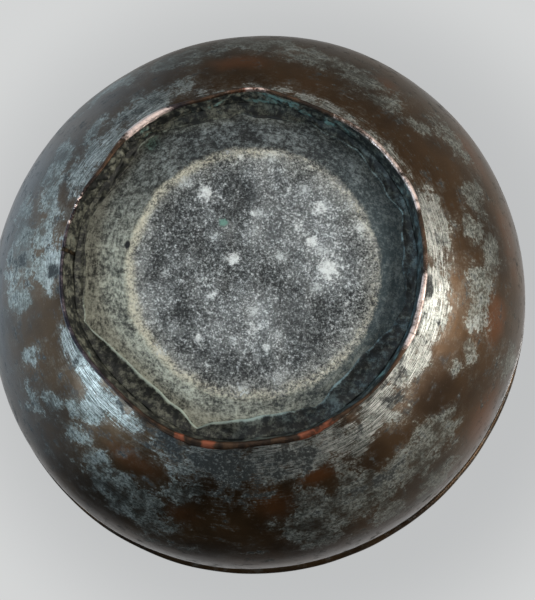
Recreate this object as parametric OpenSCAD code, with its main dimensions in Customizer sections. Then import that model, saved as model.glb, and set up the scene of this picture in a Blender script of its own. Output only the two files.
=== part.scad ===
// Copper mixing bowl, standing on its foot with the mouth up.
// Millimetres. The foot's worn edge lies on z = 0, and the bowl's axis is Z.

/* [Bowl] */
// Outside diameter over the rolled rim
rim_d = 270; // [250:5:320]
// Height from the foot's edge to the top of the rim
bowl_h = 98; // [92:1:120]
// Thickness of the copper sheet
sheet_t = 1.2; // [0.9:0.1:1.6]
// Fullness of the wall's curve: 2 is an ellipse, and more is fuller
curve_n = 2.1; // [1.9:0.1:2.5]

/* [Rim] */
// Diameter of the wire that the rim is rolled over
rim_wire_d = 2.3; // [2:0.1:4]

/* [Base] */
// Radius of the flat disc in the middle of the base
base_r = 50; // [44:1:54]

/* [Foot] */
// Radius of the foot's free edge
foot_r = 70; // [66:1:76]
// Height of the foot where it meets the bowl
foot_h = 13; // [11:0.5:16]
// How far the foot draws in from its free edge to the bowl
foot_flare = 1.2; // [0.6:0.1:2]
// Width of the thickened free edge
hem_w = 2.5; // [2:0.1:3.2]
// Width of the brazed seam across the foot's wall
seam_w = 1.6; // [1:0.1:2.4]

/* [Tin and solder] */
// Thickness of the tin coat inside the bowl
lining_t = 0.25; // [0.2:0.05:0.4]
// Leg of the solder fillets along the foot's wall
fillet_h = 3; // [2:0.5:4]
// Number of flats along the inner solder line
solder_flats = 10; // [8:1:12]

/* [Hidden] */
$fn = 180;

// The rolled rim: a bead of sheet round the wire, outside the wall
wire_r = rim_wire_d / 2;
bead_r = wire_r + sheet_t;
bead_axis_r = rim_d / 2 - bead_r;
bead_axis_z = bowl_h - bead_r;
wall_r = bead_axis_r - wire_r;
curl_end = 245;

// The foot's wall, from its free edge up to the bowl
neck_r = foot_r - foot_flare;
hem_r = hem_w / 2;
hem_axis_r = foot_r - hem_r;
// The edge is worn flat, so its round section is cut a little under its middle
hem_wear = 0.85;
hem_axis_z = hem_wear * hem_r;

// The cone under the bowl that the foot and both solder fillets are seated on
seat_out_r = neck_r + 6;
seat_in_r = neck_r - 9;
// How far the fillets run out along the cone, away from the foot's wall
fillet_out_r = neck_r + 4;
fillet_in_r = neck_r - 7.5;
// The inner fillet's flats are cut this far in from the foot's wall
flats_r = neck_r - sheet_t - 1.6;

// The wall is a superellipse hung from the rim, through the foot's neck
depth_power = 1 / curve_n;
curve_depth = (bead_axis_z - foot_h) / pow(1 - pow(neck_r / wall_r, curve_n), depth_power);
curve_steps = 26;

function curve_z(r) = bead_axis_z - curve_depth * pow(1 - pow(r / wall_r, curve_n), depth_power);

seat_out_z = curve_z(seat_out_r);
seat_in_z = curve_z(seat_in_r);
base_z = curve_z(base_r);

function seat_z(r) =
    seat_in_z + (seat_out_z - seat_in_z) * (r - seat_in_r) / (seat_out_r - seat_in_r);

// Outer line of the bowl, from the axis out along the base and up the wall
last_turn = acos(pow(seat_out_r / wall_r, curve_n / 2));
function wall_point(a) = [
    wall_r * pow(cos(a), 2 / curve_n),
    bead_axis_z - curve_depth * pow(sin(a), 2 / curve_n)
];
outer_line = concat(
    [[0, base_z], [base_r, base_z], [seat_in_r, seat_in_z]],
    [for (i = [curve_steps : -1 : 0]) wall_point(last_turn * i / curve_steps)]
);
line_end = len(outer_line) - 1;

// The same line moved inwards by d, square to each stretch of it
function unit(v) = v / norm(v);
function left_of(v) = [-v[1], v[0]];
function stretch(i) = unit(outer_line[i + 1] - outer_line[i]);
function corner_shift(i) =
    let (
        before = left_of(stretch(i == 0 ? 0 : i - 1)),
        after = left_of(stretch(i == line_end ? line_end - 1 : i)),
        middle = unit(before + after)
    )
    middle / (middle * after);
function inset_line(d) = [
    for (i = [0 : line_end])
        i == 0 ? outer_line[0] + [0, d]
        : i == line_end ? outer_line[line_end] - [d, 0]
        : outer_line[i] + d * corner_shift(i)
];
function reversed(points) = [for (i = [len(points) - 1 : -1 : 0]) points[i]];

// Skin between two depths under the bowl's outer line
module skin_section(from_d, to_d) {
    polygon(concat(inset_line(from_d), reversed(inset_line(to_d))));
}

// The sheet's edge, curled out and down round the rim wire
module rim_curl_section() {
    reach = 3 * bead_r;
    translate([bead_axis_r, bead_axis_z])
        difference() {
            circle(r = bead_r);
            circle(r = wire_r);
            polygon([
                [0, 0], [-reach, 0], [-reach, -reach],
                reach * [cos(curl_end), sin(curl_end)]
            ]);
        }
}

module bowl_body() {
    color("#5b3224")
        rotate_extrude()
            union() {
                skin_section(0, sheet_t);
                rim_curl_section();
            }
}

module tin_lining() {
    color("#9a9a92")
        rotate_extrude()
            skin_section(sheet_t, sheet_t + lining_t);
}

module rim_wire() {
    color("#6f6a64")
        rotate_extrude()
            translate([bead_axis_r, bead_axis_z])
                circle(r = wire_r);
}

// Foot wall with its thickened edge, worn flat where it stands
module foot_section() {
    inner_neck_r = neck_r - sheet_t;
    inner_edge_r = hem_axis_r - sheet_t / 2;
    outer_edge_r = hem_axis_r + sheet_t / 2;
    union() {
        polygon([
            [inner_edge_r, hem_axis_z],
            [outer_edge_r, hem_axis_z],
            [neck_r, seat_z(neck_r)],
            [inner_neck_r, seat_z(inner_neck_r)]
        ]);
        intersection() {
            translate([hem_axis_r, hem_axis_z])
                circle(r = hem_r);
            translate([hem_axis_r - hem_w, 0])
                square([2 * hem_w, foot_h]);
        }
    }
}

// Gap between the two ends of the foot's strip, on the -X side: a slab through the whole wall
module seam_gap() {
    past = hem_w;
    translate([-foot_r - past, -seam_w / 2, -past])
        cube([4 * past, seam_w, 2 * foot_h + past]);
}

module foot_ring() {
    color("#6b4a3a")
        difference() {
            rotate_extrude()
                foot_section();
            seam_gap();
        }
}

module foot_seam_braze() {
    color("#a8763f")
        intersection() {
            rotate_extrude()
                foot_section();
            seam_gap();
        }
}

// Radius of the foot wall's outer face at height z
function foot_face_r(z) =
    let (edge_r = hem_axis_r + sheet_t / 2)
    neck_r + (edge_r - neck_r) * (seat_z(neck_r) - z) / (seat_z(neck_r) - hem_axis_z);

module foot_solder_outer() {
    low_z = seat_z(neck_r) - fillet_h;
    color("#3f4a48")
        rotate_extrude()
            polygon([
                [neck_r, seat_z(neck_r)],
                [foot_face_r(low_z), low_z],
                [fillet_out_r, seat_z(fillet_out_r)]
            ]);
}

module foot_solder_inner() {
    inner_neck_r = neck_r - sheet_t;
    edge_r = hem_axis_r - sheet_t / 2;
    low_z = seat_z(inner_neck_r) - fillet_h;
    fall = (seat_z(inner_neck_r) - low_z) / (seat_z(inner_neck_r) - hem_axis_z);
    low_r = inner_neck_r + (edge_r - inner_neck_r) * fall;
    color("#7d8a80")
        difference() {
            rotate_extrude()
                polygon([
                    [inner_neck_r, seat_z(inner_neck_r)],
                    [low_r, low_z],
                    [fillet_in_r, seat_z(fillet_in_r)]
                ]);
            cylinder(r = flats_r, h = 2 * foot_h, $fn = solder_flats);
        }
}

bowl_body();
tin_lining();
rim_wire();
foot_ring();
foot_seam_braze();
foot_solder_outer();
foot_solder_inner();
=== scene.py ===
import math

import bmesh
import bpy
import numpy as np
from mathutils import Matrix, Vector
from mathutils.kdtree import KDTree


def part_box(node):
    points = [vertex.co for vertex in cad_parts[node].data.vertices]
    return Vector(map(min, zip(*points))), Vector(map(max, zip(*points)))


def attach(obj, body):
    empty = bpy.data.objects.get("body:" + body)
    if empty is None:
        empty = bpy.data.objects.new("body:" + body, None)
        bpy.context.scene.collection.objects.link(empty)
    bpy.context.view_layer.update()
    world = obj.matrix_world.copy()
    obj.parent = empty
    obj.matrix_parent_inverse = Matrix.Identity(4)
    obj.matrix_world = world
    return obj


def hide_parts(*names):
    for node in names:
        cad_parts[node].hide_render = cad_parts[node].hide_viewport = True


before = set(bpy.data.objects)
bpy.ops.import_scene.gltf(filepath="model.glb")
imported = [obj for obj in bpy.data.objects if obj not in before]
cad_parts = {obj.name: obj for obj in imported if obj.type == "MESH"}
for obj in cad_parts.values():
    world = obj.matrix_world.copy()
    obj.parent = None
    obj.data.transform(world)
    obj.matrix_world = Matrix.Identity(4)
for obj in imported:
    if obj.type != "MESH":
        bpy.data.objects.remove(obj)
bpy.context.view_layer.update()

# Everything is in metres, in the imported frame: the bowl stands on z = 0 with its mouth up.
# The main camera looks at its underside from below, so an angle "phi" here is counted
# anticlockwise as that camera sees it: a point at phi is at (r cos phi, -r sin phi).
MM = 0.001
TURN = 2 * math.pi

# ---- sizes, from the frame
BODY_LOW, BODY_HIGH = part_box("bowl_body")
WIRE_LOW, WIRE_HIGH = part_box("rim_wire")
LINING_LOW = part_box("tin_lining")[0]
FOOT_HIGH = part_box("foot_ring")[1]

RIM_TOP = BODY_HIGH.z
BASE_Z = BODY_LOW.z
SHEET = LINING_LOW.z - BODY_LOW.z
LINING = 0.25 * MM
WIRE_R = (WIRE_HIGH.z - WIRE_LOW.z) / 2
BEAD_R = WIRE_R + SHEET
BEAD_Z = RIM_TOP - BEAD_R
BEAD_AXIS_R = BODY_HIGH.x - BEAD_R
WALL_R = BEAD_AXIS_R - WIRE_R
FOOT_R = FOOT_HIGH.x
NECK_R = FOOT_R - 1.2 * MM
NECK_Z = 13 * MM
BASE_R = 50 * MM
CURVE_POWER = 2.1
CURVE_DEPTH = (BEAD_Z - NECK_Z) / (1 - (NECK_R / WALL_R) ** CURVE_POWER) ** (1 / CURVE_POWER)

# The base's disc is this far off the bowl's axis, and the wall is this much out of round
DISC_X = 3.3 * MM
DISC_Y = 2.9 * MM
OVAL = 0.012
OVAL_AT = 57
OVAL_SHRINK = 0.0045

# The foot's wall, and its brazed seam on the -X side
WALL_SHEET = 1.2 * MM
SEAM_HALF = 0.8 * MM

# Steps round the bowl, and round the foot
ROUND_STEPS = 384
FOOT_STEPS = 1080
# Depth of the planishing marks outside the bowl and inside it
OUTER_MARK = 0.05 * MM
INNER_MARK = 0.16 * MM


# ---- numbers round the bowl
def smooth(low, high, x):
    """0 below low, 1 above high, and a soft step between them."""
    t = np.clip((x - low) / (high - low), 0, 1)
    return t * t * (3 - 2 * t)


def angles(count):
    return np.arange(count) * TURN / count


def angle_gap(phi, degrees):
    """Distance in degrees from each phi to one angle, the short way round."""
    return np.abs((np.degrees(phi) - degrees + 180) % 360 - 180)


def round_profile(phi, knots, soften=5):
    """A value that runs straight between knots of (degrees, value) round the bowl, with soft corners."""
    at = np.array([k[0] for k in knots], float)
    value = np.array([k[1] for k in knots], float)
    spread = np.linspace(-soften, soften, 9)
    total = sum(np.interp((np.degrees(phi) + s) % 360, at, value, period=360) for s in spread)
    return total / len(spread)


def lumpy(phi, plain, lumps):
    """A value round the bowl: plain, with lumps of (degrees, half width in degrees, height) added."""
    total = np.full_like(phi, plain)
    for middle, half, height in lumps:
        total = total + height * np.exp(-((angle_gap(phi, middle) / half) ** 2))
    return total


def chord_radius(phi, corners):
    """Radius of the polygon through corners of (degrees, radius)."""
    at = np.array([math.radians(c[0]) for c in corners])
    radius = np.array([c[1] for c in corners], float)
    found = np.zeros_like(phi)
    for i in range(len(corners)):
        a, b = at[i], at[(i + 1) % len(corners)]
        ra, rb = radius[i], radius[(i + 1) % len(corners)]
        span = (b - a) % TURN
        into = (phi - a) % TURN
        inside = into <= span
        line = ra * rb * np.sin(span) / (ra * np.sin(into) + rb * np.sin(span - into))
        found = np.where(inside, line, found)
    return found


def waves(phi, s, seed, turns, rows, count=14):
    """Smooth noise about -1 to 1 that closes round the bowl.

    It has up to turns waves in one turn, and up to rows waves for a unit of s.
    """
    rng = np.random.default_rng(seed)
    total = np.zeros(np.broadcast(phi, s).shape)
    for _ in range(count):
        around = int(rng.integers(max(1, turns // 3), turns + 1)) * rng.choice([-1, 1])
        along = rng.uniform(0.3, 1) * rows
        total = total + np.sin(around * phi + along * TURN * s + rng.uniform(0, TURN))
    return total / math.sqrt(count)


def ripples(x, y, seed, wavelength, count=40):
    """Smooth noise about -1 to 1 over a flat area, with no direction of its own."""
    rng = np.random.default_rng(seed)
    total = np.zeros(np.broadcast(x, y).shape)
    for _ in range(count):
        heading, size = rng.uniform(0, TURN), TURN / (wavelength * rng.uniform(0.7, 1.6))
        total = total + np.sin(size * (x * math.cos(heading) + y * math.sin(heading)) + rng.uniform(0, TURN))
    return total / math.sqrt(count)


def turned(r, phi, z):
    """Points at radius r, angle phi and height z."""
    return np.stack(np.broadcast_arrays(r * np.cos(phi), -r * np.sin(phi), z), -1)


def polar(points):
    """Angle phi and radius of each point."""
    return np.arctan2(-points[..., 1], points[..., 0]), np.hypot(points[..., 0], points[..., 1])


# ---- the bowl's outer line
def curve_z(r):
    """Height of the wall's curve at radius r: a superellipse hung from the rim."""
    r = np.minimum(r, WALL_R)
    return BEAD_Z - CURVE_DEPTH * (1 - (r / WALL_R) ** CURVE_POWER) ** (1 / CURVE_POWER)


def under_z(r):
    """Height of the bowl's underside at radius r: a flat disc that turns softly into the wall's curve."""
    turn = 0.45 * MM
    a, b = BASE_Z, curve_z(r)
    return 0.5 * (a + b + np.sqrt((a - b) ** 2 + turn**2))


def outer_line():
    """Radius, height, inward normal and length along the line, from the axis to the rim."""
    inner = np.concatenate([np.linspace(0, 46 * MM, 30), np.linspace(46.8 * MM, 74.8 * MM, 38)])
    last = math.acos((inner[-1] / WALL_R) ** (CURVE_POWER / 2))
    turns = np.linspace(last, 0, 84)[1:]
    r = np.concatenate([inner, WALL_R * np.cos(turns) ** (2 / CURVE_POWER)])
    z = np.concatenate([under_z(inner), BEAD_Z - CURVE_DEPTH * np.sin(turns) ** (2 / CURVE_POWER)])
    dr, dz = np.gradient(r), np.gradient(z)
    size = np.hypot(dr, dz)
    along = np.concatenate([[0], np.cumsum(np.hypot(np.diff(r), np.diff(z)))])
    return r, z, -dz / size, dr / size, along


LINE_R, LINE_Z, LINE_NR, LINE_NZ, LINE_S = outer_line()
LINE_NR[-1], LINE_NZ[-1] = -1.0, 0.0


def hammer_field():
    """How far the sheet stands inwards at each ring and turn: planishing marks, soft dents and grinding."""
    phi = angles(ROUND_STEPS)[None, :]
    r, z = LINE_R[:, None], LINE_Z[:, None]
    points = turned(r, phi, z)
    x, y = points[..., 0], points[..., 1]
    rng = np.random.default_rng(7)
    seeds = []
    pitch = 9 * MM
    for row in np.arange(pitch, LINE_S[-1], pitch * 0.82):
        row_r, row_z = np.interp(row, LINE_S, LINE_R), np.interp(row, LINE_S, LINE_Z)
        count = max(6, int(TURN * row_r / pitch))
        for k in range(count):
            a = TURN * (k + rng.uniform(-0.3, 0.3)) / count + row * 40
            jitter = rng.uniform(-0.25, 0.25) * pitch
            seeds.append((row_r * math.cos(a), -row_r * math.sin(a), row_z + jitter * 0.5))
    tree = KDTree(len(seeds))
    for i, seed in enumerate(seeds):
        tree.insert(seed, i)
    tree.balance()
    gap = np.array([tree.find(p)[2] for p in points.reshape(-1, 3).tolist()]).reshape(x.shape)
    marks = np.minimum(gap / (0.6 * pitch), 1.2) ** 2
    s = LINE_S[:, None] / LINE_S[-1]
    dents = waves(phi, s, 11, 7, 2.0) * 0.35 * MM + waves(phi, s, 12, 18, 5.0) * 0.10 * MM
    on_wall = smooth(70 * MM, 84 * MM, r)
    fade = 1 - smooth(LINE_S[-1] - 14 * MM, LINE_S[-1] - 3 * MM, LINE_S[:, None])
    pits = (ripples(x, y, 13, 3.2 * MM) * 0.05 + ripples(x, y, 14, 14 * MM) * 0.14) * MM * (1 - on_wall)
    return (dents * smooth(25 * MM, 84 * MM, r) + pits) * fade, marks * fade * (0.3 + 0.7 * on_wall)


DENTS, MARKS = hammer_field()


def out_of_round(points):
    """The hand-made bowl isn't quite round: the wall is a little oval, and the base's disc is off centre."""
    phi, r = polar(points)
    oval = OVAL * np.cos(2 * (phi - math.radians(OVAL_AT))) - OVAL_SHRINK
    size = 1 + smooth(82 * MM, 128 * MM, r) * oval
    shift = 1 - smooth(BASE_R, 63 * MM, r)
    on_base = np.where(points[..., 2] < 20 * MM, shift, 0)
    moved = points.copy()
    moved[..., 0] = points[..., 0] * size + on_base * DISC_X
    moved[..., 1] = points[..., 1] * size + on_base * DISC_Y
    return moved


# ---- meshes
def link_piece(name, points, faces, materials, node, kinds=None, on_axis=False):
    """Makes a smooth mesh, rides it on the body and lets it stand for a CAD node.

    kinds gives each face its material's number, and on_axis says that the mesh ends on the axis.
    """
    mesh = bpy.data.meshes.new(name)
    mesh.from_pydata(points.reshape(-1, 3).tolist(), [], faces)
    if kinds is not None:
        mesh.polygons.foreach_set("material_index", kinds)
    mesh.polygons.foreach_set("use_smooth", np.ones(len(faces), bool))
    mesh.update()
    piece = bpy.data.objects.new(name, mesh)
    bpy.context.scene.collection.objects.link(piece)
    for material in materials:
        mesh.materials.append(material)
    if on_axis:
        weld_poles(mesh)
    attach(piece, "root")
    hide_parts(node)
    return piece


def band_faces(low, high, steps):
    """Faces of the band between ring number low and ring number high, all the way round."""
    i = np.arange(steps)
    j = (i + 1) % steps
    return np.stack([low * steps + i, low * steps + j, high * steps + j, high * steps + i], -1).tolist()


def add_hoop(name, rings, material, node):
    """A piece closed both ways: rings is (points of the section, steps round the bowl, 3)."""
    count, steps = rings.shape[:2]
    faces = []
    for a in range(count):
        faces.extend(band_faces(a, (a + 1) % count, steps))
    return link_piece(name, rings, faces, [material], node)


def add_skin(name, rings, materials, node, band_kinds=None):
    """A piece whose section starts and ends on the axis. band_kinds gives each band's material."""
    count, steps = rings.shape[:2]
    faces = []
    for a in range(count - 1):
        faces.extend(band_faces(a, a + 1, steps))
    kinds = None if band_kinds is None else np.repeat(band_kinds, steps).astype(np.int32)
    return link_piece(name, rings, faces, materials, node, kinds, on_axis=True)


def add_bar(name, rings, material, node):
    """A bent bar: rings is (points of the section, steps along it, 3). It is capped at both ends."""
    section, steps = rings.shape[:2]
    faces = []
    for a in range(section):
        b = (a + 1) % section
        for i in range(steps - 1):
            faces.append((a * steps + i, a * steps + i + 1, b * steps + i + 1, b * steps + i))
    faces.append(tuple(a * steps for a in range(section)))
    faces.append(tuple(a * steps + steps - 1 for a in reversed(range(section))))
    return link_piece(name, rings, faces, [material], node)


def weld_poles(mesh):
    """Joins the points of a ring that has no size, on the axis, into one point."""
    shape = bmesh.new()
    shape.from_mesh(mesh)
    on_axis = [v for v in shape.verts if v.co.x ** 2 + v.co.y ** 2 < (0.01 * MM) ** 2]
    bmesh.ops.remove_doubles(shape, verts=on_axis, dist=0.02 * MM)
    shape.to_mesh(mesh)
    shape.free()
    mesh.update()


def set_values(piece, **values):
    """Stores numbers for each point of a piece, under their names, for its material to read."""
    for name, numbers in values.items():
        layer = piece.data.attributes.new(name, "FLOAT", "POINT")
        layer.data.foreach_set("value", np.asarray(numbers, np.float32).ravel())


def set_vector(piece, name, values):
    layer = piece.data.attributes.new(name, "FLOAT_VECTOR", "POINT")
    layer.data.foreach_set("vector", np.asarray(values, np.float32).ravel())


def points_of(piece):
    co = np.empty(len(piece.data.vertices) * 3)
    piece.data.vertices.foreach_get("co", co)
    return co.reshape(-1, 3)


def sheet_rings(indices, depth, mark_depth):
    """Rings of the bowl's sheet at a depth under its outer face, hammered."""
    phi = angles(ROUND_STEPS)[None, :]
    r, z = LINE_R[indices][:, None], LINE_Z[indices][:, None]
    nr, nz = LINE_NR[indices][:, None], LINE_NZ[indices][:, None]
    push = depth + DENTS[indices] + MARKS[indices] * mark_depth
    push = np.where(r < 0.1 * MM, depth, push)
    at_r = np.maximum(r + nr * push, 0)
    at_r = np.where(r < 0.1 * MM, 0, at_r)
    return turned(at_r, phi, z + nz * push)


def curl_rings():
    """The sheet's edge, rolled outwards and down round the wire, and back over its outer face."""
    phi = angles(ROUND_STEPS)[None, :]
    inside = np.radians(np.linspace(180, -115, 22))[1:]
    edge = np.radians(np.array([-117.0]))
    outside = np.radians(np.linspace(-115, 180, 26))[:-1]
    turn = np.concatenate([inside, edge, outside])
    middle = (WIRE_R + BEAD_R) / 2
    size = np.concatenate([np.full(len(inside), WIRE_R), [middle], np.full(len(outside), BEAD_R)])
    lumps = 1 + 0.035 * waves(phi, 0, 21, 40, 1.0) * (size[:, None] > WIRE_R)
    r = BEAD_AXIS_R + size[:, None] * np.cos(turn)[:, None] * lumps
    z = BEAD_Z + size[:, None] * np.sin(turn)[:, None] * np.minimum(lumps, 1)
    return turned(r, phi, z)


# ---- worn tin on the outside
# Where tin is left on the outside, where it is bare, and where soot and orange copper are, as patches of
# (phi in degrees, radius, half length round the bowl, half width across it, slant in degrees, strength)
# with lengths in mm. Places were picked by eye on the photograph, and another program turned at least
# some of them into these numbers. Sizes, slants and strengths were chosen.
PATCHES = [
    # bright tin beside the foot, at the right and the lower left
    (12, 79, 17, 6, 0, 1.0), (352, 77, 16, 7, 0, 1.25), (333, 76, 12, 7, 0, 1.2), (318, 79, 8, 7, 12, 1.1),
    (215, 77, 15, 3.2, -6, 1.1), (229, 79, 8, 4.5, 15, 1.0), (206, 79, 6, 3, 0, 0.8), (182, 82, 9, 7, 0, 1.1),
    # thin tin beside the foot at the bottom and the top
    (262, 80, 22, 6, 0, 0.7), (285, 79, 20, 8, 0, 0.8), (303, 82, 14, 8, 0, 0.9), (75, 76, 34, 3, 0, 0.8),
    (125, 84, 16, 6, 0, 0.85), (145, 80, 14, 5, 0, 0.8),
    # the lower right: a long patch and its neighbours
    (289, 104, 13, 12, 0, 1.2), (300, 103, 16, 8, 0, 1.2), (314, 104, 17, 7, -10, 1.2),
    (325, 103, 9, 7, 0, 1.1),
    (304, 116, 7, 5, 0, 1.0), (317, 118, 9, 5, 0, 0.9), (329, 108, 3, 3, 0, 0.9), (339, 94, 4, 3, 0, 1.0),
    (344, 98, 5, 3, 0, 0.9), (352, 98, 6, 5, 0, 1.0), (0, 98, 9, 6, 0, 1.05), (347, 119, 8, 4, 0, 0.8),
    # the right and the top right
    (9, 105, 8, 5, 0, 0.95), (15, 98, 8, 5, 0, 1.0), (23, 102, 8, 5, 0, 0.95), (39, 109, 12, 5, 0, 1.0),
    (45, 97, 5, 3, 20, 0.8), (56, 95, 7, 4, 15, 0.95), (63, 102, 14, 6, 0, 1.0), (78, 102, 20, 6, 0, 1.0),
    (93, 109, 22, 6, 0, 1.0), (110, 106, 18, 6, 0, 0.95), (128, 112, 16, 5, 0, 0.8),
    # slanted streaks at the upper left
    (150, 99, 9, 4, 35, 1.0), (147, 84, 9, 4, 25, 1.0), (154, 84, 9, 4, 25, 0.9), (158, 96, 9, 5, 30, 1.0),
    (164, 92, 10, 5, 30, 0.95), (141, 92, 8, 3, 25, 0.8), (168, 104, 8, 5, 25, 0.9),
    # the left, and small ones below it
    (178, 100, 14, 8, 0, 1.15), (190, 99, 8, 7, 0, 1.05), (174, 88, 7, 5, 0, 0.9), (204, 99, 4, 5, 0, 0.85),
    (212, 107, 6, 3, 0, 0.8), (217, 99, 7, 3, 20, 0.9), (227, 98, 8, 4, 25, 0.9), (226, 89, 8, 4, 30, 0.95),
    # the bottom left
    (241, 104, 15, 9, 0, 1.15), (250, 110, 12, 8, 0, 1.05), (257, 95, 8, 5, 0, 0.85), (236, 78, 7, 4, 0, 0.9),
]
BARE = [
    (97, 93, 12, 5, 0, 1.0), (80, 90, 16, 5, 0, 0.9), (60, 108, 7, 4, 0, 0.6), (42, 86, 16, 7, 0, 1.0),
    (34, 95, 12, 8, 0, 0.8), (135, 103, 12, 5, 0, 0.8), (197, 90, 8, 14, 0, 0.9), (236, 90, 8, 5, 0, 1.0),
    (242, 95, 10, 4, 0, 1.0), (266, 104, 14, 9, 0, 1.1), (281, 96, 9, 7, 0, 1.0), (293, 89, 9, 3, 0, 1.0),
    (311, 91, 8, 4, 0, 1.0), (331, 90, 10, 8, 0, 1.0), (333, 118, 12, 8, 0, 0.8), (24, 93, 6, 4, 0, 0.8),
]
SOOT = [
    (252, 78, 10, 5, 0, 0.9), (268, 81, 16, 7, 0, 1.0), (284, 80, 14, 5, 0, 0.8), (304, 101, 13, 2, 0, 0.75),
    (180, 101, 4, 5, 0, 0.7), (184, 80, 3, 3, 0, 0.9), (128, 84, 9, 3, 0, 0.7), (358, 74, 5, 2, 0, 0.8),
    (322, 80, 4, 3, 0, 0.4), (272, 90, 16, 6, 0, 0.45),
]
ORANGE = [
    (97, 94, 12, 5, 0, 0.8), (354, 107, 9, 5, 0, 1.0), (335, 119, 16, 6, 0, 0.7), (12, 116, 16, 6, 0, 0.5),
    (60, 106, 9, 5, 0, 0.6), (33, 114, 14, 5, 0, 0.6), (293, 88, 9, 3, 0, 0.7), (244, 91, 12, 4, 0, 0.6),
    (281, 96, 9, 6, 0, 0.5), (258, 103, 8, 5, 0, 0.5), (85, 103, 8, 5, 0, 0.3),
]


def patch_field(phi, r, patches):
    """The strongest patch at each point."""
    total = np.full(phi.shape, -1.0)
    for degrees, radius, half_round, half_across, slant, strength in patches:
        turn = (phi - math.radians(degrees) + math.pi) % TURN - math.pi
        u, v = turn * radius, (r / MM - radius)
        c, s = math.cos(math.radians(slant)), math.sin(math.radians(slant))
        across = ((u * s + v * c) / half_across) ** 2
        around = ((u * c - v * s) / half_round) ** 2
        total = np.maximum(total, strength * (1.6 * np.exp(-0.55 * (across + around)) - 0.6))
    return total


def set_grain(piece, phi, r):
    """Places on the sheet for noise to be drawn out round the bowl."""
    along = np.interp(r, LINE_R, LINE_S)
    set_vector(piece, "grain", np.stack([0.1 * np.cos(phi), 0.1 * np.sin(phi), along], -1))


# ---- shader helper
class Nodes:
    """Builds the nodes of a material or of the world."""

    def __init__(self, owner):
        owner.use_nodes = True
        self.nodes = owner.node_tree.nodes
        self.links = owner.node_tree.links

    def put(self, value, socket):
        if isinstance(value, bpy.types.NodeSocket):
            self.links.new(value, socket)
        elif isinstance(value, tuple) and len(value) == 3 and socket.type == "RGBA":
            socket.default_value = (*value, 1)
        else:
            socket.default_value = value

    def math(self, operation, a, b):
        node = self.nodes.new("ShaderNodeMath")
        node.operation = operation
        self.put(a, node.inputs[0])
        self.put(b, node.inputs[1])
        return node.outputs[0]

    def add(self, a, b):
        return self.math("ADD", a, b)

    def times(self, a, b):
        return self.math("MULTIPLY", a, b)

    def swing(self, noise, size):
        """Noise about 0.5 turned into noise about 0, of the given size."""
        return self.times(self.add(noise, -0.5), size)

    def step(self, value, low, high, to_low=0.0, to_high=1.0):
        """A soft step from to_low to to_high as value goes from low to high."""
        node = self.nodes.new("ShaderNodeMapRange")
        node.interpolation_type = "SMOOTHSTEP"
        self.put(value, node.inputs["Value"])
        self.put(low, node.inputs["From Min"])
        self.put(high, node.inputs["From Max"])
        self.put(to_low, node.inputs["To Min"])
        self.put(to_high, node.inputs["To Max"])
        return node.outputs[0]

    def mix(self, amount, a, b):
        """A colour between a and b."""
        node = self.nodes.new("ShaderNodeMix")
        node.data_type = "RGBA"
        self.put(amount, node.inputs[0])
        self.put(a, node.inputs[6])
        self.put(b, node.inputs[7])
        return node.outputs[2]

    def between(self, amount, a, b):
        """A number between a and b."""
        node = self.nodes.new("ShaderNodeMix")
        self.put(amount, node.inputs[0])
        self.put(a, node.inputs[2])
        self.put(b, node.inputs[3])
        return node.outputs[0]

    def mix_shader(self, amount, a, b):
        """A shader between the shaders of nodes a and b."""
        node = self.nodes.new("ShaderNodeMixShader")
        self.put(amount, node.inputs[0])
        self.put(a.outputs[0], node.inputs[1])
        self.put(b.outputs[0], node.inputs[2])
        return node

    def vector_math(self, operation, vector, other=None):
        node = self.nodes.new("ShaderNodeVectorMath")
        node.operation = operation
        self.put(vector, node.inputs[0])
        if other is not None:
            node.inputs[1].default_value = other
        return node.outputs["Vector" if operation == "MULTIPLY" else "Value"]

    def stretched(self, vector, scale):
        return self.vector_math("MULTIPLY", vector, scale)

    def noise(self, vector, scale, detail=4.0, rough=0.55, distortion=0.0):
        node = self.nodes.new("ShaderNodeTexNoise")
        self.put(vector, node.inputs["Vector"])
        settings = {"Scale": scale, "Detail": detail, "Roughness": rough, "Distortion": distortion}
        for name, value in settings.items():
            node.inputs[name].default_value = value
        return node.outputs[0]

    def cells(self, vector, scale):
        node = self.nodes.new("ShaderNodeTexVoronoi")
        self.put(vector, node.inputs["Vector"])
        node.inputs["Scale"].default_value = scale
        return node.outputs["Distance"]

    def attribute(self, name, vector=False):
        node = self.nodes.new("ShaderNodeAttribute")
        node.attribute_name = name
        return node.outputs["Vector" if vector else "Fac"]

    def bump(self, height, strength, distance, normal=None):
        node = self.nodes.new("ShaderNodeBump")
        node.inputs["Strength"].default_value = strength
        node.inputs["Distance"].default_value = distance
        self.put(height, node.inputs["Height"])
        if normal is not None:
            self.put(normal, node.inputs["Normal"])
        return node.outputs[0]


class Paint(Nodes):
    """Builds one material."""

    def __init__(self, name):
        self.material = bpy.data.materials.new(name)
        super().__init__(self.material)
        self.surface = self.nodes["Principled BSDF"]
        self.place = self.nodes.new("ShaderNodeTexCoord").outputs["Object"]

    def finish(self, color, metallic, roughness, normal=None):
        self.put(color, self.surface.inputs["Base Color"])
        self.put(metallic, self.surface.inputs["Metallic"])
        self.put(roughness, self.surface.inputs["Roughness"])
        if normal is not None:
            self.put(normal, self.surface.inputs["Normal"])
        return self.material


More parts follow.
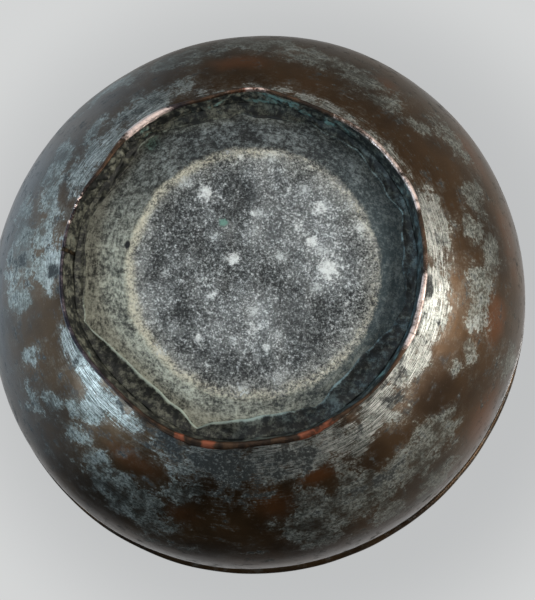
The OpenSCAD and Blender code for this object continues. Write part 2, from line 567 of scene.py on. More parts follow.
# ---- materials
def aged_copper():
    """The outside: dark oxidised copper, with ragged remains of tin brushed round the bowl, and soot."""
    p = Paint("aged_copper")
    grain = p.attribute("grain", vector=True)
    brushed = p.attribute("brushed")
    streaks = p.noise(p.stretched(grain, (1, 1, 26)), 60, 5, 0.6)
    fine_streaks = p.noise(p.stretched(grain, (1, 1, 60)), 110, 3, 0.6)
    ragged = p.noise(p.place, 90, 9, 0.74, 0.25)
    blotch = p.noise(p.place, 150, 7, 0.7)
    specks = p.noise(p.place, 850, 3, 0.75)
    cloud = p.noise(p.place, 34, 4, 0.55)

    brush_wobble = p.swing(streaks, p.between(brushed, 0.4, 1.6))
    wobble = p.add(p.swing(ragged, 4.6), brush_wobble)
    wobble = p.add(wobble, p.swing(specks, 0.9))
    cover = p.add(p.attribute("tin"), wobble)
    tin = p.step(cover, 0.06, 0.46)
    thin_tin = p.times(p.step(cover, -0.55, 0.12), 0.16)
    tin = p.math("MAXIMUM", tin, thin_tin)
    worn_through = p.step(p.noise(p.place, 380, 6, 0.78), 0.52, 0.64)
    tin = p.times(tin, p.math("SUBTRACT", 1.0, p.times(worn_through, 0.55)))
    tin = p.times(tin, p.step(p.add(blotch, p.times(brushed, 0.15)), 0.36, 0.56, 0.45, 1.0))

    soot_wobble = p.add(p.swing(blotch, 5.0), p.swing(streaks, 2.0))
    soot = p.step(p.add(p.attribute("soot"), soot_wobble), -0.1, 0.75)
    orange = p.step(p.add(p.attribute("orange"), p.swing(cloud, 1.4)), -0.1, 1.0)

    brown = p.mix(p.step(cloud, 0.3, 0.7), (0.028, 0.016, 0.0078), (0.064, 0.0355, 0.0155))
    brown = p.mix(orange, brown, (0.120, 0.047, 0.017))
    brown = p.mix(p.times(p.step(specks, 0.6, 0.75), 0.35), brown, (0.15, 0.105, 0.075))
    grey = p.mix(p.step(specks, 0.38, 0.62), (0.045, 0.050, 0.044), (0.235, 0.252, 0.228))
    shade = p.add(p.times(blotch, 0.6), p.times(cloud, 0.4))
    grey = p.mix(p.step(shade, 0.54, 0.40), grey, (0.040, 0.046, 0.041))
    grey = p.mix(p.times(p.step(shade, 0.53, 0.62), 0.6), grey, (0.36, 0.39, 0.375))
    scratched = p.times(p.step(fine_streaks, 0.46, 0.64), p.between(brushed, 0.25, 1.0))
    grey = p.mix(scratched, grey, (0.50, 0.50, 0.47))
    color = p.mix(tin, brown, grey)
    black = p.mix(p.step(specks, 0.50, 0.66), (0.009, 0.011, 0.010), (0.085, 0.092, 0.088))
    color = p.mix(soot, color, black)

    metallic = p.between(tin, 0.78, 0.82)
    metallic = p.between(soot, metallic, 0.15)
    rough = p.between(tin, p.between(cloud, 0.24, 0.38), p.between(specks, 0.24, 0.54))
    rough = p.between(soot, rough, 0.62)
    strokes = p.times(p.add(p.times(streaks, 0.6), fine_streaks), p.between(brushed, 0.25, 1.0))
    normal = p.bump(strokes, 0.16, 0.25 * MM)
    normal = p.bump(p.add(tin, p.times(specks, 0.7)), 0.35, 0.11 * MM, normal)
    return p.finish(color, metallic, rough, normal)


def base_scale():
    """The base inside the foot: burnt, pitted and grey, with pale specks and a worn cream ring. Its slope is
    painted paler on its lit left side and darker on its shaded top and right, and the slope's edge along the
    solder is verdigris with a painted highlight.
    """
    p = Paint("base_scale")
    fine = p.noise(p.place, 1250, 3, 0.9)
    grit = p.noise(p.place, 560, 8, 0.9)
    mottle = p.noise(p.place, 105, 6, 0.7)
    cloud = p.noise(p.place, 46, 5, 0.65)
    rim = p.add(p.attribute("disc"), p.swing(mottle, 6.0))

    tone = p.add(p.times(grit, 0.6), p.add(p.times(fine, 0.45), p.times(cloud, 0.2)))
    tone = p.add(tone, p.add(p.times(p.attribute("chalk"), 0.03), p.times(p.attribute("burnt"), -0.035)))
    dark = p.mix(p.step(tone, 0.565, 0.68), (0.010, 0.011, 0.011), (0.205, 0.216, 0.212))
    dark = p.mix(p.times(p.step(cloud, 0.44, 0.62), 0.30), dark, (0.20, 0.21, 0.21))
    disc = p.mix(p.step(tone, 0.665, 0.72), dark, (0.70, 0.72, 0.715))
    flakes = p.step(p.add(p.cells(p.place, 75), p.swing(grit, 2.2)), 0.14, 0.02)
    disc = p.mix(p.times(flakes, 0.85), disc, (0.66, 0.69, 0.68))
    chalk = p.step(p.add(p.times(mottle, 0.62), p.times(grit, 0.50)), 0.66, 0.74)
    disc = p.mix(p.times(chalk, 0.60), disc, (0.66, 0.68, 0.675))
    chalk = p.step(p.add(p.attribute("chalk"), p.swing(grit, 3.4)), 0.35, 0.95)
    disc = p.mix(p.times(chalk, 0.90), disc, (0.80, 0.82, 0.80))
    worn_band = p.times(p.step(rim, -12.0, -1.0), p.step(tone, 0.56, 0.66))
    disc = p.mix(p.times(worn_band, 0.34), disc, (0.42, 0.41, 0.35))

    streaks = p.noise(p.stretched(p.attribute("grain", vector=True), (1, 1, 6)), 130, 6, 0.75)
    slope_tone = p.add(p.times(grit, 0.56), p.add(p.times(mottle, 0.22), p.times(streaks, 0.22)))
    deep = p.mix(p.step(slope_tone, 0.465, 0.60), (0.005, 0.006, 0.006), (0.225, 0.252, 0.252))
    # Painted light: the slope takes this paler colour on its lit left side, and the dark deep colour on its
    # shaded top and right
    pale = p.mix(p.step(slope_tone, 0.43, 0.585), (0.026, 0.027, 0.022), (0.58, 0.58, 0.47))
    slope = p.mix(p.attribute("pale"), deep, pale)
    # The slope's edge along the solder: verdigris, with a painted highlight where it catches the light at the
    # lower left
    edge = p.times(p.attribute("edge"), p.step(slope_tone, 0.42, 0.54))
    slope = p.mix(p.times(edge, 0.75), slope, (0.50, 0.50, 0.40))
    slope = p.mix(p.times(p.step(p.attribute("teal"), 0.1, 0.9), 0.40), slope, (0.058, 0.100, 0.118))
    color = p.mix(p.step(rim, -0.9, 1.1), disc, slope)
    ring = p.times(p.step(rim, -4.6, -0.6), p.step(rim, 2.0, -0.4))
    ring = p.times(ring, p.step(p.add(p.attribute("cream"), p.swing(slope_tone, 5.5)), 0.1, 1.2))
    ring = p.times(ring, p.step(tone, 0.575, 0.655, 0.25, 1.0))
    color = p.mix(p.times(ring, 0.80), color, (0.68, 0.62, 0.46))
    spot = p.step(p.add(p.attribute("green"), p.swing(slope_tone, 5.0)), 0.30, 1.0)
    color = p.mix(p.times(spot, 0.85), color, (0.14, 0.30, 0.24))
    pit = p.step(p.attribute("pit"), 0.1, 0.5)
    color = p.mix(pit, color, (0.006, 0.006, 0.006))
    rough = p.between(p.step(fine, 0.5, 0.8), 0.72, 0.42)
    normal = p.bump(p.add(grit, p.times(fine, 0.45)), 0.9, 0.45 * MM)
    normal = p.bump(mottle, 0.5, 0.9 * MM, normal)
    return p.finish(color, 0.2, rough, normal)


def foot_copper():
    """The foot: brown outside, blackened and green inside, and worn to bright copper along its edge, with a
    purple-blue painted reflection of cool light on the edge.
    """
    p = Paint("foot_copper")
    fine = p.noise(p.place, 1100, 3, 0.75)
    grit = p.noise(p.place, 380, 6, 0.78)
    mottle = p.noise(p.place, 150, 5, 0.65, 0.3)
    inside = p.step(p.attribute("inside"), 0.2, 0.8)

    brown = p.mix(p.step(mottle, 0.38, 0.62), (0.019, 0.012, 0.008), (0.072, 0.040, 0.022))
    tone = p.add(p.times(grit, 0.6), p.times(mottle, 0.4))
    # Painted reflection: a purple-blue tint on the edge where it would reflect the cool light at the left
    plum = p.mix(p.step(tone, 0.44, 0.60), (0.012, 0.012, 0.019), (0.080, 0.066, 0.078))
    brown = p.mix(p.attribute("plum"), brown, plum)
    black = p.mix(p.step(tone, 0.455, 0.61), (0.003, 0.004, 0.003), (0.165, 0.168, 0.130))
    blue = p.mix(p.step(tone, 0.455, 0.61), (0.004, 0.009, 0.013), (0.055, 0.125, 0.155))
    black = p.mix(p.times(p.attribute("teal"), p.step(mottle, 0.35, 0.62)), black, blue)
    green = p.step(p.add(p.times(p.attribute("green"), 1.9), p.swing(mottle, 7.0)), 0.9, 1.7)
    black = p.mix(p.times(green, 0.8), black, (0.135, 0.245, 0.225))
    color = p.mix(inside, brown, black)

    raw = p.step(p.add(p.times(p.attribute("red"), 1.9), p.swing(mottle, 4.5)), 0.85, 1.75)
    color = p.mix(p.times(raw, 0.85), color, (0.25, 0.074, 0.038))
    bright = p.step(p.add(p.times(p.attribute("bright"), 1.9), p.swing(tone, 6.5)), 0.75, 2.0)
    color = p.mix(bright, color, (0.70, 0.56, 0.51))
    color = p.mix(p.attribute("crack"), color, (0.012, 0.008, 0.008))

    metallic = p.between(bright, p.between(inside, 0.75, 0.12), 0.95)
    rough = p.between(bright, p.between(inside, 0.42, 0.66), 0.30)
    normal = p.bump(p.add(grit, p.times(fine, 0.5)), 0.6, 0.30 * MM)
    return p.finish(color, metallic, rough, normal)


def solder_patina():
    """The solder inside the foot: dull under a grey-green patina, with a pale line along its edge that is
    verdigris with a painted highlight, strongest at the lower left.
    """
    p = Paint("solder_patina")
    grit = p.noise(p.place, 380, 6, 0.82)
    mottle = p.noise(p.place, 140, 5, 0.7)
    tone = p.add(p.times(grit, 0.65), p.times(mottle, 0.35))
    color = p.mix(p.step(tone, 0.46, 0.61), (0.003, 0.004, 0.003), (0.120, 0.123, 0.094))
    blue = p.mix(p.step(tone, 0.46, 0.61), (0.005, 0.010, 0.014), (0.060, 0.110, 0.135))
    color = p.mix(p.times(p.attribute("teal"), p.step(mottle, 0.35, 0.62)), color, blue)
    # The pale line: verdigris, with a painted highlight where it catches the light, strongest at the lower
    # left
    line = p.step(p.add(p.attribute("line"), p.swing(tone, 2.4)), 0.45, 1.0)
    line_color = p.mix(p.attribute("teal"), (0.36, 0.42, 0.36), (0.16, 0.27, 0.32))
    color = p.mix(p.times(line, 0.8), color, line_color)
    normal = p.bump(p.add(grit, p.times(mottle, 0.6)), 0.7, 0.35 * MM)
    return p.finish(color, 0.15, p.between(grit, 0.5, 0.75), normal)


def wiped_tin():
    """The inside: dull wiped tin, streaked and scratched round the bowl, worn to copper in places."""
    p = Paint("wiped_tin")
    grain = p.attribute("grain", vector=True)
    streaks = p.noise(p.stretched(grain, (1, 1, 18)), 55, 5, 0.6)
    scratches = p.noise(p.stretched(grain, (1, 1, 90)), 120, 3, 0.6)
    cloud = p.noise(p.place, 26, 4, 0.55)
    specks = p.noise(p.place, 700, 4, 0.7)
    ragged = p.noise(p.place, 120, 6, 0.66)
    color = p.mix(p.step(cloud, 0.3, 0.7), (0.27, 0.27, 0.255), (0.50, 0.49, 0.46))
    color = p.mix(p.times(p.step(streaks, 0.45, 0.7), 0.5), color, (0.62, 0.61, 0.58))
    stain = p.step(p.add(p.times(cloud, 0.5), p.times(ragged, 0.6)), 0.56, 0.68)
    color = p.mix(p.times(stain, 0.55), color, (0.12, 0.12, 0.115))
    bare = p.step(p.add(p.attribute("worn"), p.swing(ragged, 2.4)), 0.35, 0.7)
    color = p.mix(p.times(bare, 0.85), color, (0.26, 0.115, 0.062))
    color = p.mix(p.times(p.step(specks, 0.6, 0.72), 0.5), color, (0.06, 0.055, 0.05))
    rough = p.between(p.step(streaks, 0.3, 0.7), 0.30, 0.50)
    normal = p.bump(p.add(p.times(streaks, 0.5), scratches), 0.14, 0.2 * MM)
    normal = p.bump(specks, 0.25, 0.12 * MM, normal)
    return p.finish(color, 0.9, rough, normal)


def iron_wire():
    """The wire in the rim: dark iron, a little rusty."""
    p = Paint("iron_wire")
    rust = p.noise(p.place, 400, 5, 0.7)
    color = p.mix(p.step(rust, 0.45, 0.65), (0.10, 0.095, 0.09), (0.14, 0.06, 0.03))
    return p.finish(color, 0.7, p.between(rust, 0.4, 0.8), p.bump(rust, 0.4, 0.1 * MM))


def seam_braze():
    """The foot's seam: dark, dull brass."""
    p = Paint("seam_braze")
    grit = p.noise(p.place, 500, 4, 0.7)
    color = p.mix(p.step(grit, 0.4, 0.65), (0.018, 0.014, 0.010), (0.105, 0.072, 0.042))
    return p.finish(color, 0.8, p.between(grit, 0.35, 0.6), p.bump(grit, 0.5, 0.2 * MM))


# ---- pieces: body, lining and wire
# How pale the slope round the base is (painted light: paler on its lit left side, darker on its shaded top
# and right), its edge along the solder (verdigris with a painted highlight), and the cream ring round the
# disc, as (phi in degrees, amount)
SLOPE_PAINTED_LIGHT = [
    (0, 0.05), (45, 0.02), (85, 0.0), (120, 0.03), (150, 0.24), (185, 0.98), (240, 0.98), (265, 0.75),
    (295, 0.45), (330, 0.10),
]
EDGE_VERDIGRIS_AND_HIGHLIGHT = [
    (0, 0.1), (60, 0.15), (120, 0.25), (150, 0.2), (168, 0.6), (180, 1.0), (250, 0.9), (275, 0.5), (320, 0.3),
]
CREAM_SIDE = [
    (0, 0.35), (60, 0.30), (100, 0.60), (140, 0.95), (195, 1.15), (235, 1.0), (270, 0.55), (320, 0.55),
]
# Chalky and burnt spots on the disc, as (x, y, radius) in mm from its centre, and a strength for chalk.
# They were picked by eye on the photograph, and another program turned the picks into mm.
# The burnt spots' radii were then made 1 mm larger.
CHALK = [
    (30, -2, 5, 1.0), (-21, -31, 4, 0.9), (-8, -4, 3, 1.0), (-15, 11, 2.5, 0.9), (-17, 4, 5, 0.5),
    (2, 23, 4.5, 0.55), (-19, 28, 2.5, 0.9), (8, 30, 2, 0.9), (26, -27, 3.5, 0.9), (42, -20, 3.5, 0.8),
    (17, -19, 2.5, 0.9), (23, -13, 3, 0.9), (38, 11, 1.5, 0.9), (33, 20, 1.5, 0.7), (-1, -23, 2, 0.8),
    (-8, -46, 1.5, 0.9), (4, -47, 4, 0.6), (-34, -12, 3, 0.5), (-39, 23, 3, 0.6), (13, -34, 2, 0.7),
]
BURNT = [
    (-3, -30, 7), (-37, 4, 7), (18, 17, 8), (-13, 39, 7), (26, 29, 6), (8, -16, 5), (-27, 19, 5),
    (-13, -15, 5),
]


def make_body(copper, base):
    """The bowl's sheet: up its outer face, round the rim's wire and back down its inner face."""
    count = len(LINE_R)
    inner = np.concatenate([np.arange(count - 1, 0, -3), [0]])
    outside = sheet_rings(np.arange(count), 0.0, OUTER_MARK)
    inside = sheet_rings(inner, SHEET, OUTER_MARK)
    rings = out_of_round(np.concatenate([outside, curl_rings(), inside]))
    seat = NECK_R - 1 * MM
    on_base = np.zeros(len(rings) - 1)
    on_base[:count] = LINE_R < seat
    piece = add_skin("bowl_body_sheet", rings, [copper, base], "bowl_body", on_base)
    set_copper_values(piece, 0.0)
    set_base_values(piece)


def set_copper_values(piece, more_tin):
    """What the outside's material reads: where tin and soot remain, and where brushing shows."""
    phi, r = polar(points_of(piece))
    tin = patch_field(phi, r, PATCHES) - 0.9 * np.maximum(patch_field(phi, r, BARE), 0)
    soot = patch_field(phi, r, SOOT)
    orange = patch_field(phi, r, ORANGE)
    brushed = 1 - smooth(80 * MM, 92 * MM, r)
    set_values(piece, tin=tin + more_tin, soot=soot, orange=orange, brushed=brushed)
    set_grain(piece, phi, r)


def spots(x, y, places):
    """The strongest of some round spots of (x, y, radius) and, if it isn't 1, a strength."""
    found = np.zeros_like(x)
    for a, b, size, *strength in places:
        spot = np.exp(-((x - a) ** 2 + (y - b) ** 2) / size**2)
        found = np.maximum(found, spot * (strength[0] if strength else 1))
    return found


def set_base_values(piece):
    """What the base's material reads: distance from the disc's edge in mm, and how each side is stained."""
    at = points_of(piece)
    phi, r = polar(at)
    x, y = (at[:, 0] - DISC_X) / MM, (at[:, 1] - DISC_Y) / MM
    green_spot = np.hypot(at[:, 0] + 9.5 * MM, at[:, 1] + 16 * MM) / MM
    green_corner = np.hypot(at[:, 0] + 42.5 * MM, at[:, 1] + 48.5 * MM) / MM
    pit = np.hypot((at[:, 0] + 47.5 * MM) / 0.65, at[:, 1] + 4.5 * MM) / MM
    to_line = (solder_line_r(phi) - r) / MM
    set_values(
        piece,
        disc=np.hypot(x, y) - BASE_R / MM,
        chalk=spots(x, y, CHALK),
        burnt=spots(x, y, BURNT),
        # pale: painted light, the slope paler on its lit left side and darker on its shaded top and right
        pale=round_profile(phi, SLOPE_PAINTED_LIGHT, 12),
        teal=1 - angle_gap(phi, 355) / 95,
        cream=round_profile(phi, CREAM_SIDE, 12),
        green=np.maximum(1.5 - green_spot / 1.7, 0.75 - green_corner / 9),
        pit=1 - pit / 2.6,
        # edge: verdigris along the solder, with a painted highlight strongest at the lower left
        edge=(1 - smooth(0.5, 5.0, to_line)) * round_profile(phi, EDGE_VERDIGRIS_AND_HIGHLIGHT, 6),
    )


def make_lining(tin):
    """The tin coat: up its free face, and back down where it meets the sheet."""
    count = len(LINE_R)
    back = np.concatenate([np.arange(count - 1, 0, -3), [0]])
    free = sheet_rings(np.arange(count), SHEET + LINING, INNER_MARK)
    rings = out_of_round(np.concatenate([free, sheet_rings(back, SHEET, OUTER_MARK)]))
    piece = add_skin("tin_lining_coat", rings, [tin], "tin_lining")
    phi, r = polar(points_of(piece))
    set_grain(piece, phi, r)
    on_bottom = 1 - smooth(20 * MM, 62 * MM, r)
    near_rim = smooth(122 * MM, 131 * MM, r)
    set_values(piece, worn=0.55 * on_bottom + 0.5 * near_rim - 0.35)


def make_wire(iron):
    """The wire inside the rolled rim, a hair thinner than its curl."""
    phi = angles(ROUND_STEPS)[None, :]
    turn = np.radians(np.arange(0, 360, 30))[:, None]
    size = WIRE_R * 0.985
    rings = turned(BEAD_AXIS_R + size * np.cos(turn), phi, BEAD_Z + size * np.sin(turn))
    add_hoop("rim_wire_hoop", out_of_round(rings), iron, "rim_wire")


# ---- pieces: the foot
# Dents and bulges of the foot's free edge, and thin and thick places of it:
# a plain value in mm, then (phi in degrees, half width in degrees, height in mm).
# Another program fitted these lumps to earlier tables of points, and rounded them.
EDGE_RADIUS = 71.4
EDGE_LUMPS = [
    (25, 7, 0.8), (69, 18, -2.5), (89, 5, 0.5), (108, 12, -2.4), (150, 10, -2.2), (212, 29, 2.6),
    (225, 16, -2.5), (261, 14, 2.3), (294, 9, 1.4), (341, 7, 0.8),
]
HEM_WIDTH = 1.8
HEM_LUMPS = [
    (49, 39, 0.3), (130, 12, 1.8), (180, 12, -0.3), (263, 14, 1.5), (295, 15, 1.3), (321, 20, -0.8),
    (342, 14, 1.2),
]
# Corners of the inner solder line, as (phi in degrees, radius in mm). They too were picked by eye and
# converted by another program, then rounded, and some were moved by hand.
SOLDER_CORNERS = [
    (22, 66.5), (50, 66), (70, 64.5), (96, 63.5), (118, 64), (131, 70), (137, 66), (145, 64), (152, 64),
    (159, 65), (168, 68.5), (185, 65.5), (203, 69), (258, 67), (300, 63.5), (333, 60.5), (340, 64), (349, 66),
]
# Where the foot's edge is bright, faintly bright, red, and tinted purple-blue as a painted cool reflection,
# and where its inside is green, as (middle, half width, strength) in degrees
BRIGHT_EDGE = [
    (129, 10, 1.0), (41, 20, 0.7), (24, 6, 0.85), (350, 12, 0.85), (338, 4, 0.9), (60, 6, 0.45), (90, 5, 0.6),
]
THIN_BRIGHT = [(207, 9, 1.0), (188, 16, 0.5), (105, 10, 0.8), (5, 10, 1.0), (225, 12, 0.5)]
RED_EDGE = [(92, 7, 0.55), (297, 8, 0.8), (263.5, 2.6, 0.85), (254.5, 2.3, 0.75)]
COOL_REFLECTION_EDGE = [(196, 34, 0.9), (121, 7, 0.7)]
GREEN_INSIDE = [
    (80, 13, 0.50), (64, 5, 0.42), (52, 6, 0.48), (130, 7, 0.38), (104, 8, 0.30), (325, 8, 0.35),
]
# Where fine cracks cross the edge, in degrees
CRACKS = (335.2, 339.6, 343.0)
# How bright the solder's edge line is, as (phi in degrees, amount): verdigris, with a painted highlight
# strongest at the lower left
LINE_VERDIGRIS_AND_HIGHLIGHT = [
    (0, 0.45), (12, 0.75), (40, 0.55), (60, 0.6), (90, 0.4), (120, 0.3), (133, 0.8), (142, 0.3), (190, 0.35),
    (203, 0.8), (215, 1.0), (262, 1.1), (280, 0.9), (300, 0.6), (312, 0.85), (330, 0.7), (345, 0.4),
]


def foot_edge_r(phi):
    """Radius of the foot's free edge."""
    return lumpy(phi, EDGE_RADIUS, EDGE_LUMPS) * MM


def neck_r(phi):
    """Radius of the foot's outer face where it meets the bowl. It follows the edge's dents a little."""
    return NECK_R + 0.6 * (foot_edge_r(phi) - FOOT_R)


def solder_line_r(phi):
    """Radius of the inner solder's edge: flats, kept inside the foot's wall."""
    wobble = 0.35 * waves(phi, 0, 31, 40, 1.0) * MM
    return np.minimum(chord_radius(phi, SOLDER_CORNERS) * MM + wobble, neck_r(phi) - WALL_SHEET - 0.8 * MM)


def bands(phi, spans):
    """1 inside spans of (middle, half width, strength) in degrees, with soft ends."""
    total = np.zeros_like(phi)
    for middle, half, strength in spans:
        total = np.maximum(total, strength * (1 - smooth(half * 0.4, half * 1.5, angle_gap(phi, middle))))
    return total


def torn(phi):
    """How far the worn edge stands back from the ground: jagged along one short stretch."""
    stretch = bands(phi, [(166, 7, 1.0), (182, 9, 0.35)])
    jags = np.abs(waves(phi, 0, 41, 120, 1.0, 20))
    return stretch * (0.4 + 1.3 * jags) * MM


def foot_section(phi):
    """Rows of (radius, height, side) round the foot wall's section: the inside, the edge, the outside.

    side is 1 on the inner face, 0.6 near its edge, 0 on the edge and -0.5 on the outer face.
    """
    edge, width = foot_edge_r(phi), lumpy(phi, HEM_WIDTH, HEM_LUMPS) * MM
    width = width * (1 - 0.25 * bands(phi, [(166, 8, 1.0)]) * np.abs(waves(phi, 0, 42, 150, 1.0)))
    lift = torn(phi) + 0.06 * MM * np.maximum(1 + waves(phi, 0, 43, 9, 1.0), 0)
    half = width / 2
    axis_r = edge - half
    height = 1.05 * MM
    outer_r, inner_r = neck_r(phi), neck_r(phi) - WALL_SHEET
    outer_z, inner_z = under_z(outer_r) + 0.15 * MM, under_z(inner_r) + 0.15 * MM
    crumple = bands(phi, [(142, 22, 1.0), (90, 32, 0.45), (40, 20, 0.25), (250, 80, 0.15)])
    rows = []
    for k in np.linspace(1, 0, 16):
        start_r = axis_r - np.minimum(half * 0.75, WALL_SHEET * 0.75)
        r = start_r + (inner_r - start_r) * k
        z = (height + lift) + (inner_z - height - lift) * k
        swell = math.sin(math.pi * min(1, k * 1.15))
        fold = waves(phi, k, 44, 70, 1.6, 18) * crumple * swell * 1.7 * MM
        ripple = waves(phi, k, 45, 26, 0.8, 12) * 0.16 * MM * math.sin(math.pi * k)
        rows.append((r - np.abs(fold) - ripple, z, 1.0 if k > 0.04 else 0.6))
    for a in np.radians(np.linspace(200, 340, 11)):
        bulge = 1 + 0.05 * waves(phi, a, 46, 90, 1.0)
        r = axis_r + half * np.cos(a) * bulge
        z = height + lift + height * np.maximum(np.sin(a) * 1.06, -1.0)
        rows.append((r, np.maximum(z, np.maximum(lift * 0.9, 0)), 0.0))
    for k in np.linspace(0, 1, 9):
        start_r = axis_r + np.minimum(half * 0.75, WALL_SHEET * 0.75)
        z = height + lift + (outer_z - height - lift) * k
        rows.append((start_r + (outer_r - start_r) * k, z, -0.5))
    return rows


def foot_rings(phi):
    """Rings of the foot's wall, and the side that each one is on."""
    rows = foot_section(phi)
    points = np.stack([turned(r, phi, z) for r, z, _ in rows])
    return points, np.array([row[2] for row in rows])


def make_foot(copper):
    """The foot's strip, from one side of its seam round to the other."""
    half = SEAM_HALF / FOOT_R
    phi = np.linspace(math.pi + half, math.pi + TURN - half, FOOT_STEPS)
    rings, side = foot_rings(phi)
    piece = add_bar("foot_ring_wall", rings, copper, "foot_ring")
    set_foot_values(piece, np.tile(phi, len(side)), np.repeat(side, len(phi)))


def foot_teal(phi):
    """How blue-green the foot's inside is: strongest at the right."""
    return np.clip(1.1 - angle_gap(phi, 345) / 80, 0, 1) * 0.9


def set_foot_values(piece, phi, side):
    """What the foot's material reads: where it is bright, red, green, blue-green or cracked, and where a cool
    reflection is painted on its edge.
    """
    z = points_of(piece)[:, 2]
    on_edge = 1 - smooth(1.2 * MM, 2.6 * MM, z)
    hem = np.where(side > 0.8, 0.0, 1.0)
    specks = bands(phi, [(164, 3.5, 1.0), (170, 2, 1.0)]) * (waves(phi, z / MM, 51, 160, 1.5) > 0.2)
    bright = np.maximum(np.maximum(bands(phi, BRIGHT_EDGE), specks), 0.3 * bands(phi, THIN_BRIGHT))
    cracks = np.maximum.reduce([np.exp(-((angle_gap(phi, a) * 5) ** 2)) for a in CRACKS])
    set_values(
        piece,
        bright=hem * bright * on_edge,
        red=hem * on_edge * bands(phi, RED_EDGE),
        inside=np.maximum(side, 0),
        teal=foot_teal(phi),
        # the painted cool reflection: a purple-blue tint on the edge, mostly at the left
        plum=on_edge * bands(phi, COOL_REFLECTION_EDGE),
        green=bands(phi, GREEN_INSIDE) * (1 - hem),
        crack=cracks * hem * 0.8,
    )


def make_seam(braze):
    """The braze that fills the foot's seam."""
    half = SEAM_HALF / FOOT_R
    rings = foot_rings(np.linspace(math.pi - half, math.pi + half, 5))[0]
    add_bar("foot_seam_braze_fill", rings, braze, "foot_seam_braze")


def make_inner_solder(material):
    """Solder inside the foot: a ramp from the wall to a line of flats on the base."""
    phi = angles(FOOT_STEPS)
    wall, line = neck_r(phi) - WALL_SHEET, solder_line_r(phi)
    up = (3.2 + 0.7 * waves(phi, 0, 61, 24, 1.0)) * MM
    wall_z, line_z = under_z(wall), under_z(line)
    step = (0.75 + 0.2 * waves(phi, 0, 62, 60, 1.0)) * MM
    rows = [(wall + 0.3 * MM, wall_z + 0.3 * MM, 0.0), (wall + 0.3 * MM, wall_z - up, 0.0)]
    for k in np.linspace(0.06, 1, 12):
        r = wall + (line - wall) * k
        sag = 0.6 * MM * math.sin(math.pi * k)
        z = (wall_z - up) + (line_z - step - wall_z + up) * k + sag
        z = z + 0.16 * MM * waves(phi, k, 63, 80, 2.0) * math.sin(math.pi * min(1, k + 0.1))
        near_line = 0.15 if k < 0.8 else 0.15 + 0.85 * (k - 0.8) / 0.2
        rows.append((r, np.minimum(z, under_z(r) - 0.1 * MM), near_line))
    rows.append((line - 0.35 * MM, line_z - step * 0.6, 1.0))
    rows.append((line - 0.45 * MM, line_z + 0.3 * MM, 1.0))
    rings = np.stack([turned(r, phi, z) for r, z, _ in rows])
    piece = add_hoop("foot_solder_inner_fillet", rings, material, "foot_solder_inner")
    around = np.tile(phi, len(rows))
    # line: where the pale edge line goes, verdigris with a painted highlight
    line = np.repeat([row[2] for row in rows], len(phi)) * round_profile(around, LINE_VERDIGRIS_AND_HIGHLIGHT, 4)
    set_values(piece, line=line, teal=foot_teal(around))


def make_outer_solder(material):
    """Solder outside the foot: a thin uneven fillet under the bowl."""
    phi = angles(FOOT_STEPS)
    wall = neck_r(phi)
    reach = wall + (2.6 + 0.5 * waves(phi, 0, 71, 30, 1.0)) * MM
    up = (2.6 + 0.5 * waves(phi, 0, 72, 24, 1.0)) * MM
    wall_z = under_z(wall)
    rows = [(wall - 0.3 * MM, wall_z + 0.3 * MM), (wall - 0.2 * MM, wall_z - up)]
    for k in np.linspace(0.08, 1, 9):
        r = wall + (reach - wall) * k
        z = (wall_z - up) + (under_z(reach) - wall_z + up) * k + 0.5 * MM * math.sin(math.pi * k)
        rows.append((r, z))
    rows.append((reach, under_z(reach) + 0.3 * MM))
    rings = np.stack([turned(r, phi, z) for r, z in rows])
    piece = add_hoop("foot_solder_outer_fillet", rings, material, "foot_solder_outer")
    set_copper_values(piece, 0.35)


# ---- stage, light and camera
BACKGROUND = (0.66, 0.67, 0.67)
FLOOR_REACH = 6.0
# The floor fades into the background between these distances from the bowl's axis
FADE_FROM, FADE_TO = 0.2, 1.3
# The photograph's camera
CAMERA_AT = Vector((27.5, 60.5, -302.0)) * MM
CAMERA_AIM = Vector((7.35, 6.75, 58.0)) * MM
CAMERA_ROLL = -4.0
LENS, SENSOR = 47.7, 36


def make_stage():
    """A pale floor that only the camera sees, and only from above. It fades into the background."""
    floor = bpy.data.meshes.new("floor")
    corners = [(x * FLOOR_REACH, y * FLOOR_REACH, 0) for x, y in ((-1, -1), (1, -1), (1, 1), (-1, 1))]
    floor.from_pydata(corners, [], [(0, 1, 2, 3)])
    floor_object = bpy.data.objects.new("floor", floor)
    bpy.context.scene.collection.objects.link(floor_object)
    p = Paint("floor_pale")
    floor.materials.append(p.finish((0.66, 0.66, 0.645), 0.0, 0.8))
    far = p.nodes.new("ShaderNodeEmission")
    p.put(BACKGROUND, far.inputs["Color"])
    fade = p.step(p.vector_math("LENGTH", p.place), FADE_FROM, FADE_TO)
    above = p.mix_shader(fade, p.surface, far)
    under = p.nodes.new("ShaderNodeBsdfTransparent")
    from_under = p.nodes.new("ShaderNodeNewGeometry").outputs["Backfacing"]
    floor_shader = p.mix_shader(from_under, above, under)
    p.put(floor_shader.outputs[0], p.nodes["Material Output"].inputs["Surface"])
    floor_object.visible_shadow = False
    floor_object.visible_diffuse = False
    floor_object.visible_glossy = False


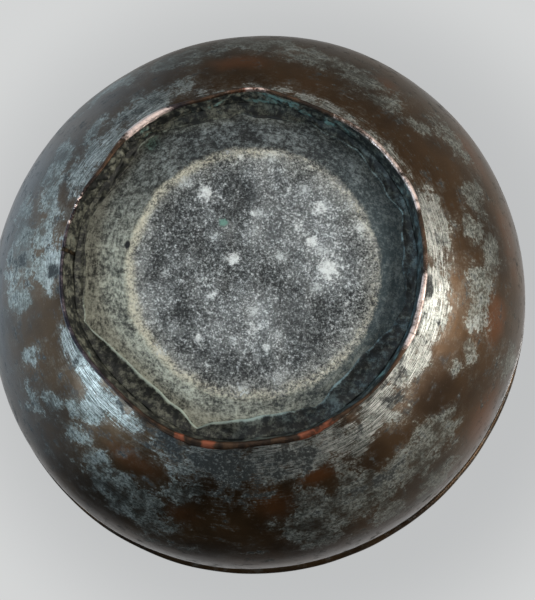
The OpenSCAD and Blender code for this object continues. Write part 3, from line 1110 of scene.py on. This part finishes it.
def make_world():
    """Pale for the camera, with a painted soft shadow round the bowl's direction. The metal reflects a dim
    room, warm at the right, cool at the left.
    """
    world = bpy.data.worlds.new("studio")
    bpy.context.scene.world = world
    w = Nodes(world)
    direction = w.nodes.new("ShaderNodeTexCoord").outputs["Generated"]

    def side(toward, low, high):
        """0 to 1 as a direction turns toward one side of the room."""
        turned_to = w.vector_math("DOT_PRODUCT", direction, Vector(toward).normalized())
        return w.step(turned_to, low, high)

    room = w.mix(side((0, -1, 0.2), -0.6, 0.8), (0.027, 0.028, 0.028), (0.235, 0.23, 0.215))
    room = w.mix(side((0.9, -0.15, 0.1), 0.1, 0.95), room, (0.60, 0.56, 0.50))
    room = w.mix(side((-0.95, -0.22, 0.0), 0.45, 0.97), room, (0.92, 1.14, 1.34))
    room = w.mix(side((-0.985, -0.14, -0.03), 0.95, 0.992), room, (2.1, 2.5, 2.8))
    room = w.mix(side((0, 0, 1), 0.6, 0.97), room, (0.75, 0.76, 0.77))
    seen = w.nodes.new("ShaderNodeLightPath").outputs["Is Camera Ray"]
    # Painted shadow: the backdrop darkens round the direction just above the bowl, as if the bowl cast a soft
    # shadow on it
    backdrop_with_painted_shadow = w.mix(side((-0.035, -0.125, 1.0), 0.895, 0.955), BACKGROUND, (0.52, 0.53, 0.535))
    w.put(w.mix(seen, room, backdrop_with_painted_shadow), w.nodes["Background"].inputs["Color"])


def add_light(name, direction, distance, size, power, color):
    """A soft square light that faces the bowl from a direction."""
    light = bpy.data.lights.new(name, "AREA")
    light.shape = "SQUARE"
    light.size = size
    light.energy = power
    light.color = color
    lamp = bpy.data.objects.new(name, light)
    bpy.context.scene.collection.objects.link(lamp)
    middle = Vector((0, 0, RIM_TOP / 2))
    away = Vector(direction).normalized()
    lamp.location = middle + away * distance
    lamp.rotation_mode = "QUATERNION"
    lamp.rotation_quaternion = away.to_track_quat("Z", "Y")


def make_lights():
    """Lamps by direction, distance, size, power and colour."""
    add_light("key_right", (0.88, -0.03, -0.47), 1.1, 0.40, 6.5, (1.0, 0.96, 0.90))
    add_light("key_low", (0.75, 0.40, -0.54), 1.1, 0.26, 2.2, (1.0, 0.97, 0.92))
    add_light("fill_left", (-0.73, 0.47, -0.50), 1.1, 0.26, 5.4, (0.68, 0.86, 1.0))
    add_light("under_soft", (0.1, -0.5, -1.0), 1.4, 1.2, 8, (1.0, 0.99, 0.97))
    add_light("top_key", (0.14, -0.10, 1.0), 1.5, 0.8, 9, (1.0, 0.98, 0.95))


def make_camera():
    """The photograph's viewing angle: nearly square to the base, from just off the bowl's axis."""
    data = bpy.data.cameras.new("camera")
    data.lens = LENS
    data.sensor_width = SENSOR
    data.clip_start = 0.01
    data.clip_end = 100
    camera = bpy.data.objects.new("camera", data)
    bpy.context.scene.collection.objects.link(camera)
    ahead = (CAMERA_AIM - CAMERA_AT).normalized()
    up = Vector((0, -1, 0))
    right = ahead.cross(up).normalized()
    up = right.cross(ahead)
    basis = Matrix((right, up, -ahead)).transposed()
    camera.rotation_mode = "QUATERNION"
    rolled = basis @ Matrix.Rotation(math.radians(-CAMERA_ROLL), 3, "Z")
    camera.rotation_quaternion = rolled.to_quaternion()
    camera.location = CAMERA_AT
    bpy.context.scene.camera = camera


# ---- the scene
make_camera()
make_stage()
make_world()
make_lights()
bpy.context.scene.view_settings.view_transform = "Standard"

copper = aged_copper()
make_body(copper, base_scale())
make_lining(wiped_tin())
make_wire(iron_wire())
make_foot(foot_copper())
make_seam(seam_braze())
make_inner_solder(solder_patina())
make_outer_solder(copper)
